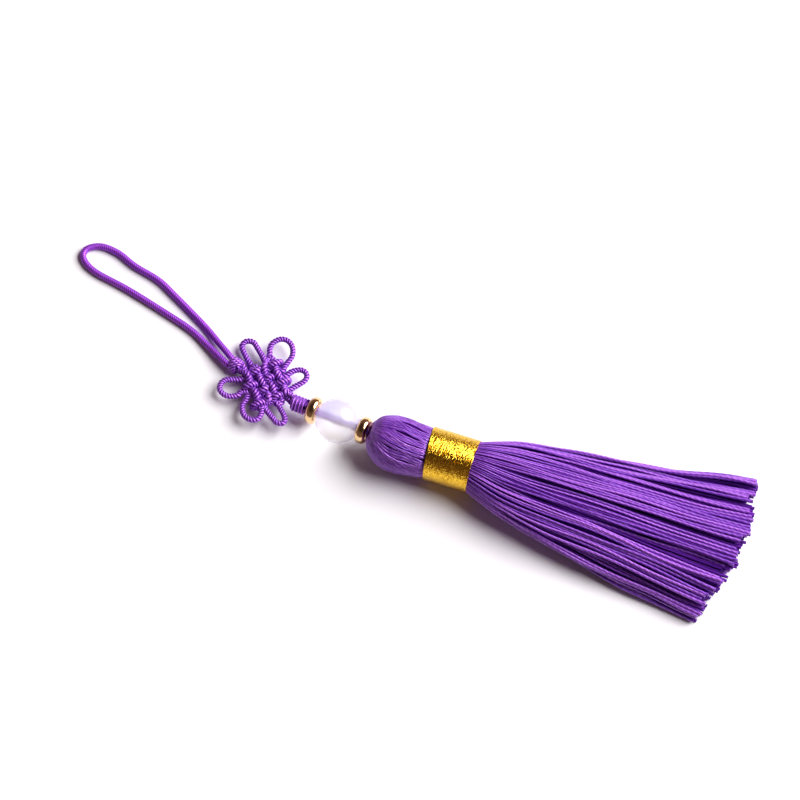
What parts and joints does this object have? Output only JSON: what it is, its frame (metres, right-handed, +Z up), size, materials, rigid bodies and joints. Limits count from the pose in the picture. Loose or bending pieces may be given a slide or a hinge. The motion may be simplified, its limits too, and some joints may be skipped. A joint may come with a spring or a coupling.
{
  "type": "tassel with a knotted hanging loop",
  "caption": "Silk-thread tassel with a wound gold band, a round bead between spacer rings, a woven flat knot with cord ears and a hanging loop, lying at rest.",
  "frame": {"origin": "on the surface it lies on, under the middle of everything but the hanging loop", "axes": "+X along the tassel from its head to its thread ends, +Z up from the surface it lies on"},
  "size_m": [0.1571, 0.0439, 0.0122],
  "materials": {
    "violet_thread": "glossy twisted silk thread",
    "violet_cord": "satin braided cord",
    "gold_thread": "glittering metallic thread",
    "gold_plate": "polished",
    "bead_glass": "milky, polished"
  },
  "bodies": {
    "root": {"tassel": "violet_thread", "gold_binding": "gold_thread", "spacer_ring_1": "gold_plate", "spacer_ring_2": "gold_plate", "bead": "bead_glass", "bead_cord": "violet_cord", "barrel_knot": "violet_cord", "pan_chang_knot": "violet_cord", "loop_knot": "violet_cord", "hanging_loop": "violet_cord"}
  },
  "joints": []
}
